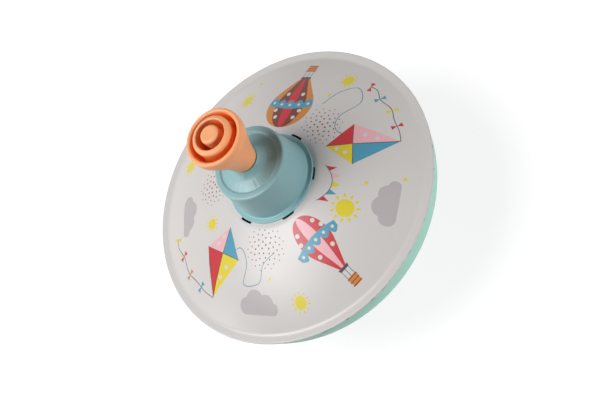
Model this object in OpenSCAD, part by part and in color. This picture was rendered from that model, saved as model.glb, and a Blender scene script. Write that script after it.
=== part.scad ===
// Pump-action spinning top: a hollow tin body on a fixed tip, with a drive tower on
// its dome and a knob on a twisted steel strip. The origin is the point that the top
// spins on, and +Z runs up the spin axis. Sizes are in millimetres. The knob is down.

/* [Body shells] */
// Diameter over the hemmed rim
body_d = 190; // [150:1:240]
// Thickness of the tin sheet
sheet_t = 0.5; // [0.4:0.05:0.7]
// Rise from the rim's top face to the tower's seat
dome_rise = 24.6; // [18:0.2:36]
// Turn of the dome's long arc in degrees
dome_curve = 18; // [4:1:24]
// Flat land left around the hook slots
land_margin = 0.7; // [0.4:0.1:6]
// Radius of the hollow bend between the dome and the rim band
rim_bend_r = 5; // [3:0.5:10]
// Width of the flat rim band
rim_band = 3.2; // [3:0.1:7]
// Lap of the hem that is folded under the bowl's flange
hem_lap = 1.1; // [0.6:0.1:1.3]
// Height of the bowl's upright wall under the rim
bowl_wall_h = 2.5; // [2.2:0.1:8]
// Radius of the bowl's rounded side
bowl_side_r = 33; // [22:1:42]
// Slope of the bowl's underside in degrees
bowl_slope = 20; // [10:1:28]

/* [Tower] */
// Width of the base flange
tower_flange_w = 3.5; // [2.8:0.1:6]
// Height of the base flange
tower_flange_h = 0.9; // [0.7:0.1:3]
// Diameter of the cone at its foot
tower_foot_d = 50.2; // [41:0.2:62]
// Inset of the top rim from the foot of the cone
tower_taper = 1.4; // [0.5:0.1:4]
// Height of the top rim above the seat
tower_h = 26.2; // [21:0.2:36]
// Width of the raised rim around the top
tower_rim_w = 4.3; // [3:0.1:5.5]
// Depth of the dished ring inside the top rim
tower_dish = 0.8; // [0.4:0.1:1.4]
// Wall thickness
tower_wall = 2; // [1.6:0.1:2.6]
// Height of the flared crown above the top rim
crown_rise = 4.8; // [3.6:0.1:8]
// Wall of the crown around the guide bush
crown_wall = 2.4; // [2.2:0.1:3]
// Number of snap hooks
hook_count = 6; // [3:1:8]
// Width of a snap hook
hook_w = 7.4; // [4:0.2:10]
// Depth of a hook's stem from its inner to its outer face
hook_t = 1.2; // [0.8:0.1:1.6]
// Part of each slot that shows outside the flange
slot_show = 1.3; // [0.8:0.1:1.6]

/* [Knob] */
// Diameter over the lip
knob_d = 36.8; // [35:0.2:46]
// Diameter at the base
knob_base_d = 17.2; // [15:0.2:22]
// Height from the base to the middle of the lip's rounded edge
knob_h = 32.2; // [26.2:0.2:44]
// Height of the upright band under the lip
knob_band_h = 4.5; // [4.2:0.1:8]
// Thickness of the lip
lip_t = 3; // [1.8:0.1:3.4]
// Width of the groove inside the lip
groove_w = 2.8; // [2:0.1:4.2]
// Thickness of the middle ring
ring_t = 3.2; // [2.8:0.1:4.4]
// Rise of the middle ring above the lip's middle
ring_rise = 4.8; // [3:0.1:7]
// Wall of the middle boss around the strip
boss_wall = 1.55; // [0.8:0.05:2.5]
// Rise of the boss above the lip's middle
boss_rise = 6.1; // [3:0.1:8]
// Depth of the outer groove below the lip's middle
groove_depth = 8; // [5:0.5:10]
// Depth of the inner groove below the lip's middle
inner_groove_depth = 13; // [6:0.5:16]

/* [Drive] */
// Width of the twisted strip
strip_w = 9; // [6:0.1:10.8]
// Thickness of the twisted strip
strip_t = 1.2; // [0.8:0.1:1.6]
// Height in which the strip makes one turn
strip_lead = 48; // [36:1:80]
// Length of the straight tang that is held in the knob
tang_l = 24; // [16:0.5:27]
// Diameter of the driver's bearing
driver_d = 23.2; // [19.2:0.2:28]
// Height of the driver's bearing
driver_bearing_h = 5; // [4:0.1:7]
// Thickness of the driver's slotted web
driver_web = 4; // [2.5:0.1:6]
// Wall of the clutch housing around the driver
housing_wall = 2.8; // [2:0.1:3.2]
// Lap of the housing's flange under the foot of the tower
housing_lap = 1.1; // [0.6:0.1:2]
// Thickness of the housing's flange
housing_flange_t = 1.6; // [1.2:0.1:2.4]
// Thickness of the clutch cover
cover_t = 1.6; // [1.2:0.1:2.4]
// Wall of the centre tube
tube_wall = 1.2; // [0.8:0.1:2]
// Length of the sockets that hold the centre tube
socket_l = 12; // [8:0.5:16]
// Thickness of the stop washer
stop_t = 1.9; // [1.2:0.1:3]
// Diameter of the pin under the stop washer
stop_pin_d = 1.2; // [0.8:0.1:1.5]
// Thickness of the guide bush's flange
bush_flange_t = 1.2; // [0.8:0.1:2]
// Wall of the guide bush
bush_wall = 1.6; // [1.2:0.1:2]

/* [Foot] */
// Height from the tip's point to the bowl's underside
foot_h = 16; // [13:0.5:24]
// Diameter of the foot at the bowl
foot_d = 37; // [30:0.5:46]
// Height of the foot's upright edge
foot_edge_h = 2; // [1:0.1:3]
// Radius of the flare between the foot's nose and its edge
foot_flare_r = 8; // [5:0.5:10]
// Diameter of the round steel tip
tip_d = 6.4; // [5:0.2:8]
// Diameter of the tip's shank
tip_shank_d = 4; // [3:0.2:4.8]
// Length of the tip's shank above its round end
tip_shank_l = 5; // [3:0.5:6]
// Wall of the foot's neck around the centre tube
neck_wall = 2.4; // [1.8:0.1:3]
// Thickness of the washer that locks the foot
lock_t = 1; // [0.6:0.1:2]

/* [Fits] */
// Radial clearance of parts that turn in each other
running = 0.08; // [0.04:0.01:0.1]
// Radial clearance of parts that are pushed together
push = 0.03; // [0.02:0.01:0.06]
// Gap between a moving part and the stop that it rests on
rest_gap = 0.3; // [0.2:0.05:0.4]
// Clearance around the twisted strip
strip_gap = 0.4; // [0.3:0.05:0.6]

/* [Hidden] */
$fn = 96;
eps = 0.01;

// Rounded and broken edges of the mouldings
edge_s = 0.5;
edge_m = 0.9;
edge_l = 1.5;
draft = 0.2;

// Radii that follow the strip, from the inside out
strip_r = norm([strip_w, strip_t]) / 2;
pass_r = strip_r + strip_gap;
stop_lap = 0.8;
stop_r = pass_r + stop_lap;
stop_play = 0.6;
tube_ir = stop_r + stop_play;
tube_or = tube_ir + tube_wall;
sleeve_ir = tube_or + push;
sleeve_wall = 1.8;
sleeve_or = sleeve_ir + sleeve_wall;
neck_r = sleeve_ir + neck_wall;
bush_or = pass_r + bush_wall;
bush_flange_w = 1;
bush_flange_r = bush_or + bush_flange_w;
crown_r = bush_or + push + crown_wall;

// Tower radii about the foot of the cone
tower_foot_r = tower_foot_d / 2;
tower_base_r = tower_foot_r + tower_flange_w;
tower_top_r = tower_foot_r - tower_taper;
inner_foot_r = tower_foot_r - tower_wall - draft;
housing_r = inner_foot_r + housing_lap;
hook_inset = 0.2;
hook_or = tower_base_r - hook_inset;
hook_ir = hook_or - hook_t;
slot_or = tower_base_r + slot_show;

// Rim: three layers of sheet in a flat hem
body_r = body_d / 2;
hem_play = 0.1;
hem_r = sheet_t + hem_play / 2;
hem_centre_r = body_r - sheet_t / 2 - hem_r;
flange_edge_r = hem_centre_r - hem_play;
flange_bend_r = 0.6;
hem_wall_gap = 0.5;
wall_r = hem_centre_r - hem_lap - hem_wall_gap - sheet_t / 2;

// Bowl heights, from the foot up to the rim
seat_margin = 1.5;
seat_r = foot_d / 2 + seat_margin;
seat_bend_r = 4;
side_sweep = 90 - bowl_slope;
side_end_r = wall_r - bowl_side_r * (1 - cos(side_sweep));
slope_start_r = seat_r + seat_bend_r * sin(bowl_slope);
slope_l = (side_end_r - slope_start_r) / cos(bowl_slope);
bowl_seat_z = foot_h + sheet_t / 2;
side_top_z = bowl_seat_z + seat_bend_r * (1 - cos(bowl_slope)) + slope_l * sin(bowl_slope)
           + bowl_side_r * sin(side_sweep);
rim_z = side_top_z + bowl_wall_h;

// Dome: a long arc from the land, then a hollow bend to the rim band
land_r = slot_or + land_margin;
seat_z = rim_z + dome_rise;
dome_half = dome_curve / 2;
dome_run = hem_centre_r - rim_band - land_r;
bend_drop = dome_rise - rim_bend_r;
dome_tilt = asin(rim_bend_r * cos(dome_half) / norm([dome_run, bend_drop])) + atan2(bend_drop, dome_run);
dome_chord = dome_run * cos(dome_tilt) + bend_drop * sin(dome_tilt) - rim_bend_r * sin(dome_half);
dome_r = dome_chord / (2 * sin(dome_half));

// Tower heights
tower_top_z = seat_z + tower_h;
crown_z = tower_top_z + crown_rise;
bush_seat_z = crown_z - bush_flange_t;
roof_z = tower_top_z - tower_dish - tower_wall;
hook_bite = 0.6;
hook_drop = 3;
hook_play = 0.2;
barb_z = seat_z - sheet_t - hook_play;
slot_w = hook_w + 4 * hook_play;

// Knob heights
knob_z = crown_z + rest_gap;
lip_z = knob_z + knob_h;

// Clutch heights, from the tower's seat up
plate_under_z = seat_z - sheet_t;
plate_top_z = seat_z + housing_flange_t;
driver_r = driver_d / 2;
cone_wall = 1.2;
cone_r = pass_r + cone_wall;
cone_gap = 0.15;
cone_h = driver_r - cone_r;
cone_lift = 0.6;
cone_z = plate_top_z + cone_lift;
bearing_z = cone_z + cone_h;
shoulder_z = bearing_z + driver_bearing_h;
driver_float = 0.4;
cover_z = shoulder_z + driver_float;
hub_wall = 2.6;
hub_r = pass_r + hub_wall;
hub_proud = 1;
hub_top_z = cover_z + cover_t + hub_proud;
bush_gap = 1.5;
bush_end_z = hub_top_z + bush_gap;
web_z = shoulder_z - driver_web;
housing_hole_r = sleeve_or + strip_gap;

// Strip heights, from the foot up
socket_depth = 3.4;
socket_z = foot_h - socket_depth;
tail_gap = 1;
tail_z = socket_z + tail_gap;
tail_w = 3;
tail_end = 2.2;
stop_pin_z = tail_z + tail_end;
pin_gap = 0.2;
stop_z = stop_pin_z + stop_pin_d / 2 + pin_gap;
shoulder_gap = 0.1;
twist_z = stop_z + stop_t + shoulder_gap;
tang_start = 0.8;
tang_z = knob_z - tang_start;
tang_top_z = knob_z + tang_l;
stroke = plate_under_z - rest_gap - (stop_z + stop_t);
web_mid_z = web_z + driver_web / 2;
echo(rim_z = rim_z, seat_z = seat_z, knob_z = knob_z, top_z = lip_z + boss_rise, stroke = stroke);

// Points on an arc about c, from angle a0 to a1
function arc(c, r, a0, a1, n = 8) =
    [for (i = [0 : n]) let (a = a0 + (a1 - a0) * i / n) c + r * [cos(a), sin(a)]];

function unit(v) = v / norm(v);
function left_of(v) = [-v[1], v[0]];
function reverse(list) = [for (i = [len(list) - 1 : -1 : 0]) list[i]];

// A line moved sideways by d, with mitred corners
function beside(path, d) = [for (i = [0 : len(path) - 1]) let (
    a = left_of(unit(path[max(i, 1)] - path[max(i, 1) - 1])),
    b = left_of(unit(path[min(i, len(path) - 2) + 1] - path[min(i, len(path) - 2)])))
    path[i] + d * (a + b) / (1 + a * b)];

// The outline of a sheet of thickness t around its middle line
function sheet(path, t) = concat(beside(path, t / 2), reverse(beside(path, -t / 2)));

// The middle line of a bent sheet: each step is a straight length, then a bend radius and
// angle, and it sets off from p along heading h
function bent(p, h, steps, n = 8) = len(steps) == 0 ? [] : let (
    s = steps[0],
    q = p + s[0] * [cos(h), sin(h)],
    side = s[2] < 0 ? -1 : 1,
    c = q + s[1] * side * [-sin(h), cos(h)],
    bend = s[1] > 0 ? arc(c, s[1], h - 90 * side, h - 90 * side + s[2], n) : [q],
    rest = [for (i = [1 : 1 : len(steps) - 1]) steps[i]])
    concat(s[0] > 0 && s[1] > 0 ? [q] : [], s[1] > 0 ? [for (i = [1 : n]) bend[i]] : bend,
           bent(bend[len(bend) - 1], h + s[2], rest, n));

// A ring of copies about the spin axis
module around(count) {
    for (i = [0 : count - 1]) rotate([0, 0, i * 360 / count]) children();
}

// A block of a ring, w wide at its outer radius and centred on the X axis
module sector(r0, r1, z0, z1, w) {
    half = asin(w / 2 / r1);
    rotate([0, 0, -half]) rotate_extrude(angle = 2 * half) translate([r0, z0]) square([r1 - r0, z1 - z0]);
}

// The twisted strip's shape between two heights, grown by g
module twisted(z0, z1, g) {
    turn = 360 / strip_lead;
    translate([0, 0, z0]) rotate([0, 0, turn * (z0 - web_mid_z)])
        linear_extrude(height = z1 - z0, twist = -turn * (z1 - z0), slices = ceil(z1 - z0), $fn = 16)
            square([strip_w + 2 * g, strip_t + 2 * g], center = true);
}

// A straight piece of the strip that carries on at the angle that it has at height z
module straight(z, z0, z1, w, t) {
    rotate([0, 0, 360 / strip_lead * (z - web_mid_z)])
        translate([-w / 2, -t / 2, z0]) cube([w, t, z1 - z0]);
}

module upper_shell() {
    land_z = seat_z - sheet_t / 2;
    dome = bent([land_r, land_z], dome_half - dome_tilt, [
        [0, dome_r, -dome_curve],
        [0, rim_bend_r, dome_tilt + dome_half],
        [rim_band, hem_r, -180],
        [hem_lap, 0, 0]], 12);
    color("gainsboro") difference() {
        rotate_extrude() polygon(sheet(concat([[housing_hole_r, land_z], [land_r, land_z]], dome), sheet_t));
        around(hook_count)
            sector(hook_ir - hook_play, slot_or, seat_z - sheet_t - 1, seat_z + 1, slot_w);
    }
}

module lower_shell() {
    flange_z = rim_z - 1.5 * sheet_t;
    bowl = bent([flange_edge_r, flange_z], 180, [
        [flange_edge_r - wall_r - flange_bend_r, flange_bend_r, 90],
        [flange_z - flange_bend_r - side_top_z, bowl_side_r, -side_sweep],
        [slope_l, seat_bend_r, -bowl_slope],
        [seat_r - neck_r - rest_gap, 0, 0]], 14);
    color("mediumaquamarine")
        rotate_extrude() polygon(sheet(concat([[flange_edge_r, flange_z]], bowl), sheet_t));
}

module tower() {
    rim_in_r = tower_top_r - tower_rim_w;
    inner_top_r = tower_top_r - tower_wall - draft;
    recess_r = housing_r + draft;
    bore_r = bush_or + push;
    flange_hole_r = bush_flange_r + push;
    foot_fillet = 1;
    dish_fillet = 1.3;
    dish_turn = acos(1 - tower_dish / (edge_m + dish_fillet));
    rim_c = [rim_in_r + edge_m, tower_top_z - edge_m];
    dish_c = rim_c + (edge_m + dish_fillet) * [-sin(dish_turn), cos(dish_turn)];
    dish_slope = 18;
    crown_slope = 65;
    crown_share = 0.71;
    crown_bend = crown_share * (rim_in_r - crown_r);
    crown_c = [crown_r, crown_z - edge_s] + crown_bend * [sin(crown_slope), cos(crown_slope)];
    roof_rise = crown_rise / 2;
    outside = concat(
        [[tower_base_r, seat_z]],
        arc([tower_base_r - edge_s, seat_z + tower_flange_h - edge_s], edge_s, 0, 90),
        arc([tower_foot_r, seat_z + tower_flange_h] + foot_fillet * [1, 1], foot_fillet, -90, -180),
        arc([tower_top_r - edge_l, tower_top_z - edge_l], edge_l, 6, 90),
        arc(rim_c, edge_m, 90, 90 + dish_turn),
        arc(dish_c, dish_fillet, dish_turn - 90, -90 - dish_slope),
        arc(crown_c, crown_bend, -90 - dish_slope, -90 - crown_slope),
        arc([crown_r - edge_s, crown_z - edge_s], edge_s, 0, 90));
    inside = [
        [flange_hole_r, crown_z], [flange_hole_r, bush_seat_z], [bore_r, bush_seat_z],
        [bore_r, bush_end_z], [bore_r + tower_wall, bush_end_z],
        [bore_r + tower_wall + edge_s, roof_z + roof_rise], [inner_top_r - edge_m, roof_z],
        [inner_top_r, roof_z - edge_m], [inner_foot_r, plate_top_z], [recess_r, plate_top_z],
        [recess_r, seat_z]];
    color("cadetblue") {
        rotate_extrude() polygon(concat(outside, inside));
        around(hook_count) {
            sector(hook_ir, hook_or, seat_z - hook_drop, seat_z + eps, hook_w);
            sector(hook_ir - hook_play - hook_bite, hook_ir + eps, seat_z - hook_drop, barb_z,
                   hook_w - edge_s);
        }
    }
}

module guide_bush() {
    color("ivory") rotate_extrude() polygon([
        [pass_r, bush_end_z], [bush_or - edge_s, bush_end_z], [bush_or, bush_end_z + edge_s],
        [bush_or, bush_seat_z], [bush_flange_r, bush_seat_z], [bush_flange_r, crown_z - edge_s],
        [bush_flange_r - edge_s, crown_z], [pass_r + edge_s, crown_z], [pass_r, crown_z - edge_s]]);
}

module clutch_housing() {
    cup_ir = driver_r + running;
    cup_or = cup_ir + housing_wall;
    sleeve_z = plate_under_z - socket_l;
    color("whitesmoke") rotate_extrude() polygon([
        [pass_r, plate_under_z], [sleeve_ir, plate_under_z], [sleeve_ir, sleeve_z],
        [sleeve_or - edge_s, sleeve_z], [sleeve_or, sleeve_z + edge_s], [sleeve_or, seat_z],
        [housing_r, seat_z], [housing_r, plate_top_z], [cup_or, plate_top_z], [cup_or, cover_z],
        [cup_ir, cover_z], [cup_ir, bearing_z - cone_gap], [cone_r + running, cone_z - cone_gap],
        [cone_r + running, plate_top_z], [pass_r, plate_top_z]]);
}

module clutch_cover() {
    cover_r = driver_r + running + housing_wall;
    color("whitesmoke") rotate_extrude() polygon([
        [hub_r + running, cover_z], [cover_r, cover_z], [cover_r, cover_z + cover_t - edge_s],
        [cover_r - edge_s, cover_z + cover_t], [hub_r + running, cover_z + cover_t]]);
}

module driver() {
    color("darkorange") difference() {
        rotate_extrude() polygon([
            [pass_r, cone_z], [cone_r, cone_z], [driver_r, bearing_z], [driver_r, shoulder_z],
            [hub_r, shoulder_z], [hub_r, hub_top_z - edge_s], [hub_r - edge_s, hub_top_z],
            [pass_r, hub_top_z], [pass_r, shoulder_z], [0, shoulder_z], [0, web_z], [pass_r, web_z]]);
        twisted(web_z - 1, shoulder_z + 1, strip_gap / 2);
    }
}

module centre_tube() {
    color("silver") translate([0, 0, socket_z]) difference() {
        cylinder(h = plate_under_z - socket_z, r = tube_or);
        translate([0, 0, -1]) cylinder(h = plate_under_z - socket_z + 2, r = tube_ir);
    }
}

module foot() {
    foot_r = foot_d / 2;
    nose_wall = 1.8;
    nose_r = tip_d / 2 + nose_wall;
    nose_z = tip_d / 2;
    shank_z = nose_z + tip_shank_l;
    color("sandybrown") difference() {
        rotate_extrude() polygon(concat(
            [[0, nose_z], [nose_r - edge_s, nose_z], [nose_r, nose_z + edge_s]],
            arc([nose_r + foot_flare_r, nose_z + edge_m], foot_flare_r, 180, 115),
            arc([foot_r - edge_l, foot_h - foot_edge_h], edge_l, -70, 0),
            [[foot_r, foot_h], [neck_r, foot_h], [neck_r, foot_h + socket_l - edge_s],
             [neck_r - edge_s, foot_h + socket_l], [sleeve_ir, foot_h + socket_l], [sleeve_ir, socket_z],
             [0, socket_z]]));
        translate([0, 0, nose_z - 1]) cylinder(h = shank_z - nose_z + 1, r = tip_shank_d / 2 + push);
        translate([0, 0, nose_z]) sphere(r = tip_d / 2 + push);
    }
}

module foot_lock_washer() {
    lock_z = foot_h + sheet_t;
    color("lightsteelblue") rotate_extrude()
        translate([neck_r + push, lock_z]) square([foot_d / 2 - neck_r - push, lock_t]);
}

module tip() {
    color("silver") {
        translate([0, 0, tip_d / 2]) sphere(r = tip_d / 2);
        translate([0, 0, tip_d / 2]) cylinder(h = tip_shank_l, r = tip_shank_d / 2);
    }
}

module knob() {
    base_r = knob_base_d / 2;
    lip_r = knob_d / 2;
    ring_r = lip_r - lip_t - groove_w;
    ring_ir = ring_r - ring_t;
    boss_r = strip_r + boss_wall;
    fillet = 1;
    ring_edge = 1.8;
    ring_fall = 0.6;
    boss_edge = 1.9;
    steps = 12;
    taper = 1.25;
    flare_end = 0.9;
    flare_h = knob_h - knob_band_h - fillet;
    flare = [for (i = [0 : steps]) let (t = flare_end * i / steps)
        [base_r + (lip_r - base_r) * pow(t, taper), knob_z + fillet + flare_h * t]];
    flare_turn = atan(taper * (lip_r - base_r) / flare_h);
    shoulder_share = 0.09;
    shoulder_r = shoulder_share * flare_h / (tan(flare_turn / 2) * cos(flare_turn));
    shoulder_c = [lip_r - shoulder_r, lip_z - knob_band_h + shoulder_r * tan(flare_turn / 2)];
    outer_floor = lip_z - groove_depth;
    inner_floor = lip_z - inner_groove_depth;
    floor_r = 0.5;
    ring_z = lip_z + ring_rise;
    boss_z = lip_z + boss_rise;
    half = concat(
        [[0, knob_z]],
        arc([base_r - fillet, knob_z + fillet], fillet, -90, -10),
        flare,
        arc(shoulder_c, shoulder_r, -flare_turn, 0),
        arc([lip_r - lip_t / 2, lip_z], lip_t / 2, 0, 180),
        arc([ring_r + 2 * floor_r, outer_floor], floor_r, 0, -90),
        arc([ring_r + floor_r, outer_floor], floor_r, -90, -180),
        arc([ring_r - ring_edge, ring_z - ring_fall - ring_edge], ring_edge, 0, 70),
        arc([ring_ir + edge_m, ring_z - edge_m], edge_m, 80, 180),
        arc([ring_ir - edge_m, inner_floor], edge_m, 0, -90),
        arc([boss_r + edge_m, inner_floor], edge_m, -90, -180),
        arc([boss_r - boss_edge, boss_z - boss_edge], boss_edge, 0, 90),
        [[0, boss_z]]);
    color("sandybrown") difference() {
        rotate_extrude() polygon(half);
        straight(tang_z, knob_z - tang_start, tang_top_z + pin_gap, strip_w + 2 * push, strip_t + 2 * push);
    }
}

module spindle() {
    color("silver") difference() {
        union() {
            twisted(twist_z, tang_z + eps, 0);
            straight(tang_z, tang_z, tang_top_z, strip_w, strip_t);
            straight(twist_z, tail_z, twist_z + eps, tail_w, strip_t);
        }
        rotate([0, 0, 360 / strip_lead * (twist_z - web_mid_z)]) translate([0, 0, stop_pin_z])
            rotate([90, 0, 0]) cylinder(h = 4 * strip_t, r = stop_pin_d / 2 + push, center = true);
    }
}

module stop_washer() {
    hole_r = norm([tail_w, strip_t]) / 2 + shoulder_gap;
    color("lightsteelblue") rotate_extrude() translate([hole_r, stop_z]) square([stop_r - hole_r, stop_t]);
}

module stop_pin() {
    pin_inset = 1;
    pin_l = 2 * (stop_r - pin_inset);
    color("dimgray") rotate([0, 0, 360 / strip_lead * (twist_z - web_mid_z)]) translate([0, 0, stop_pin_z])
        rotate([90, 0, 0]) cylinder(h = pin_l, r = stop_pin_d / 2, center = true);
}

upper_shell();
lower_shell();
tower();
guide_bush();
clutch_housing();
clutch_cover();
driver();
centre_tube();
foot();
foot_lock_washer();
tip();
knob();
spindle();
stop_washer();
stop_pin();
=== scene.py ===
"""Looks of a pump-action tin spinning top: printed tin, moulded plastic and steel around its frame."""
from bisect import bisect_right
from math import acos, asin, atan2, ceil, copysign, cos, degrees, hypot, pi, radians, sin, sqrt, tan, tau

import bpy
from mathutils import Matrix, Vector
from mathutils.geometry import delaunay_2d_cdt


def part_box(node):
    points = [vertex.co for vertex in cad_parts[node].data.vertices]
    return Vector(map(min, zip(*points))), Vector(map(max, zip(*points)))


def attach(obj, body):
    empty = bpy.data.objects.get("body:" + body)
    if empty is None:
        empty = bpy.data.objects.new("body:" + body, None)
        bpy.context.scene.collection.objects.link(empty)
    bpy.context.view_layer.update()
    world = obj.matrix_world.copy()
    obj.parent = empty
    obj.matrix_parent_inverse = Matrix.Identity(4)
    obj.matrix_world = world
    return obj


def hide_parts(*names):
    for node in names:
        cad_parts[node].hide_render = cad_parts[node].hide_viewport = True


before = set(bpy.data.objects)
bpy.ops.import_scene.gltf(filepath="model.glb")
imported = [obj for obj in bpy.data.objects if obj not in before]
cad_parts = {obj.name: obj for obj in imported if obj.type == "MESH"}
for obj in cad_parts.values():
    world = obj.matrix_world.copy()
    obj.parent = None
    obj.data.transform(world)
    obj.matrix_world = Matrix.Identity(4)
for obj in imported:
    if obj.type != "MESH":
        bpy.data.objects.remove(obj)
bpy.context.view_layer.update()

MM = 0.001


def low(node):
    """Lowest corner of a node's box, in millimetres."""
    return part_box(node)[0] / MM


def high(node):
    """Highest corner of a node's box, in millimetres."""
    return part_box(node)[1] / MM


# Places from the frame, in millimetres
BODY_R = high("upper_shell").x
SEAT_Z = high("upper_shell").z
CROWN_Z = high("tower").z
BUSH_END_Z = low("guide_bush").z
KNOB_Z = low("knob").z
KNOB_TOP_Z = high("knob").z
DRIVER_TOP_Z = high("driver").z
STRIP_LOW_Z = low("spindle").z
STRIP_TOP_Z = high("spindle").z
WASHER_TOP_Z = high("stop_washer").z
FOOT_R = high("foot").x
FOOT_TOP_Z = high("foot").z
TIP_TOP_Z = high("tip").z
TIP_R = high("tip").x

# Sizes of the sheet metal, in millimetres and degrees
SHEET_T = 0.5
DOME_RISE = 24.6
DOME_CURVE = 18
LAND_MARGIN = 0.7
RIM_BEND_R = 5
RIM_BAND = 3.2
HEM_LAP = 1.1
HEM_PLAY = 0.1
HEM_WALL_GAP = 0.5
BOWL_WALL_H = 2.5
BOWL_SIDE_R = 33
BOWL_SLOPE = 20
FLANGE_BEND_R = 0.6
SEAT_MARGIN = 1.5
SEAT_BEND_R = 4
PRINT_START_R = 24
RIM_Z = SEAT_Z - DOME_RISE
HEM_R = SHEET_T + HEM_PLAY / 2
HEM_CENTRE_R = BODY_R - SHEET_T / 2 - HEM_R

# Sizes of the twisted strip and of what it passes through, in millimetres
STRIP_W = 9
STRIP_T = 1.2
STRIP_LEAD = 48
STRIP_GAP = 0.4
STRIP_EDGE = 0.3
TAIL_W = 3
TANG_START = 0.8
SHOULDER_GAP = 0.1
WEB_DEPTH = 5
REST_GAP = 0.3
PUSH = 0.03
BUSH_WALL = 1.6
BUSH_FLANGE_W = 1
BUSH_FLANGE_T = 1.2
CROWN_WALL = 2.4
STOP_LAP = 0.8
STOP_PLAY = 0.6
TUBE_WALL = 1.2
SLEEVE_WALL = 1.8
NECK_WALL = 2.4
STRIP_R = hypot(STRIP_W, STRIP_T) / 2
PASS_R = STRIP_R + STRIP_GAP
BUSH_R = PASS_R + BUSH_WALL
BUSH_FLANGE_R = BUSH_R + BUSH_FLANGE_W
BUSH_SEAT_Z = CROWN_Z - BUSH_FLANGE_T
CROWN_R = BUSH_R + PUSH + CROWN_WALL
SLEEVE_R = PASS_R + STOP_LAP + STOP_PLAY + TUBE_WALL + PUSH
NECK_R = SLEEVE_R + NECK_WALL

# Sizes of the mouldings, in millimetres and degrees. The knob's flare is a power curve: KNOB_TAPER is its
# power, and FLARE_END the share of its height where the shoulder takes over.
EDGE_S = 0.5
EDGE_M = 0.9
EDGE_L = 1.5
DRAFT = 0.2
TOWER_FOOT_R = 25.1
TOWER_FLANGE_W = 3.5
TOWER_FLANGE_H = 0.9
TOWER_FILLET = 1
TOWER_TAPER = 1.4
TOWER_H = 26.2
TOWER_RIM_W = 4.3
TOWER_DISH = 0.8
TOWER_WALL = 2
DISH_FILLET = 1.3
DISH_SLOPE = 18
CROWN_SLOPE = 65
CROWN_SHARE = 0.71
HOUSING_LAP = 1.1
HOUSING_FLANGE_T = 1.6
HOOK_COUNT = 6
HOOK_W = 7.4
HOOK_T = 1.2
HOOK_INSET = 0.2
HOOK_DROP = 3
HOOK_PLAY = 0.2
HOOK_BITE = 0.6
SLOT_SHOW = 1.3
TOWER_BASE_R = TOWER_FOOT_R + TOWER_FLANGE_W
TOWER_TOP_R = TOWER_FOOT_R - TOWER_TAPER
HOOK_R = TOWER_BASE_R - HOOK_INSET
SLOT_R = TOWER_BASE_R + SLOT_SHOW
SLOT_W = HOOK_W + 4 * HOOK_PLAY
LAND_R = SLOT_R + LAND_MARGIN
TOWER_TOP_Z = SEAT_Z + TOWER_H
KNOB_R = 18.4
KNOB_BASE_R = 8.6
KNOB_H = 32.2
KNOB_BAND_H = 4.5
KNOB_TAPER = 1.25
FLARE_END = 0.9
SHOULDER_SHARE = 0.09
LIP_T = 3
GROOVE_W = 2.8
RING_T = 3.2
RING_RISE = 4.8
BOSS_WALL = 1.55
GROOVE_DEPTH = 8
INNER_GROOVE_DEPTH = 13
LIP_Z = KNOB_Z + KNOB_H
FOOT_H = 16
FOOT_EDGE_H = 2
FOOT_FLARE_R = 8
NOSE_WALL = 1.8
SOCKET_DEPTH = 3.4
TIP_SHANK_R = 2

# Where a finish starts to change and where it has changed, in millimetres: the wear below the rim's middle
# and in from its nose, the painted glow (a deeper orange painted above and below the knob's lip for light
# through the plastic in its grooves), and the tower's brushed lines
WEAR_START, WEAR_FULL = 0.45, 0.65
NOSE_START, NOSE_FULL = 1.0, 0.7
PAINTED_GLOW_START, PAINTED_GLOW_FULL = 3, 2
BRUSH_FADE = 1

# Where most values of a noise lie
NOISE_LOW, NOISE_HIGH = 0.3, 0.7

# Fineness of the meshes, the cosine of the sharpest bend that looks smooth, and lengths that count as none
RIM_SEGMENTS = 360
SEGMENTS = 192
INNER_SEGMENTS = 120
SHARP = cos(radians(32))
TINY = 1e-6
WELD = 1e-5
ON_RING = 1e-3

# Camera, in millimetres and radians
LENS = 108
SENSOR = 36
AZIMUTH = radians(-5.9)
ELEVATION = radians(52.04)
ROLL = radians(54.5)
DISTANCE = 1090.7
AIM_RIGHT = -4.65
AIM_UP = 3.84

# Studio, in metres. The world lights the object at AMBIENT, and the floor throws back FLOOR_BOUNCE of its
# light. To the eye the floor is FLOOR_GLOW plus FLOOR_SHARE of its light, which keeps a soft shadow.
AMBIENT = 0.05
FLOOR_BOUNCE = 0.5
FLOOR_SHARE = 0.25
FLOOR_GLOW = 0.85
FLOOR_HALF = 4.0
LAMP_DISTANCE = 1.8
WHITE = (1.0, 1.0, 1.0, 1.0)


def heading_vector(angle):
    """Unit vector at an angle in degrees."""
    return Vector((cos(radians(angle)), sin(radians(angle))))


def arc(centre, radius, start, end, n=12):
    """Points on an arc between two angles in degrees."""
    return [Vector(centre) + radius * heading_vector(start + (end - start) * i / n) for i in range(n + 1)]


def side_of(step):
    """Unit vector to the left of a step."""
    return Vector((-step.y, step.x)).normalized()


def bent(start, heading, steps):
    """Middle line of a bent sheet.

    Each step is a straight length, then a bend's radius, its angle in degrees and its point count.
    """
    path = [Vector(start)]
    for length, radius, turn, n in steps:
        if length:
            path.append(path[-1] + length * heading_vector(heading))
        if radius:
            side = copysign(90, turn)
            centre = path[-1] + radius * heading_vector(heading + side)
            path += arc(centre, radius, heading - side, heading - side + turn, n)[1:]
        heading += turn
    return path


def beside(path, distance):
    """The path moved to its left, with mitred corners."""
    sides = [side_of(b - a) for a, b in zip(path, path[1:])]
    moved = []
    for i, point in enumerate(path):
        a, b = sides[max(i - 1, 0)], sides[min(i, len(sides) - 1)]
        moved.append(point + distance * (a + b) / (1 + a.dot(b)))
    return moved


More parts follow.
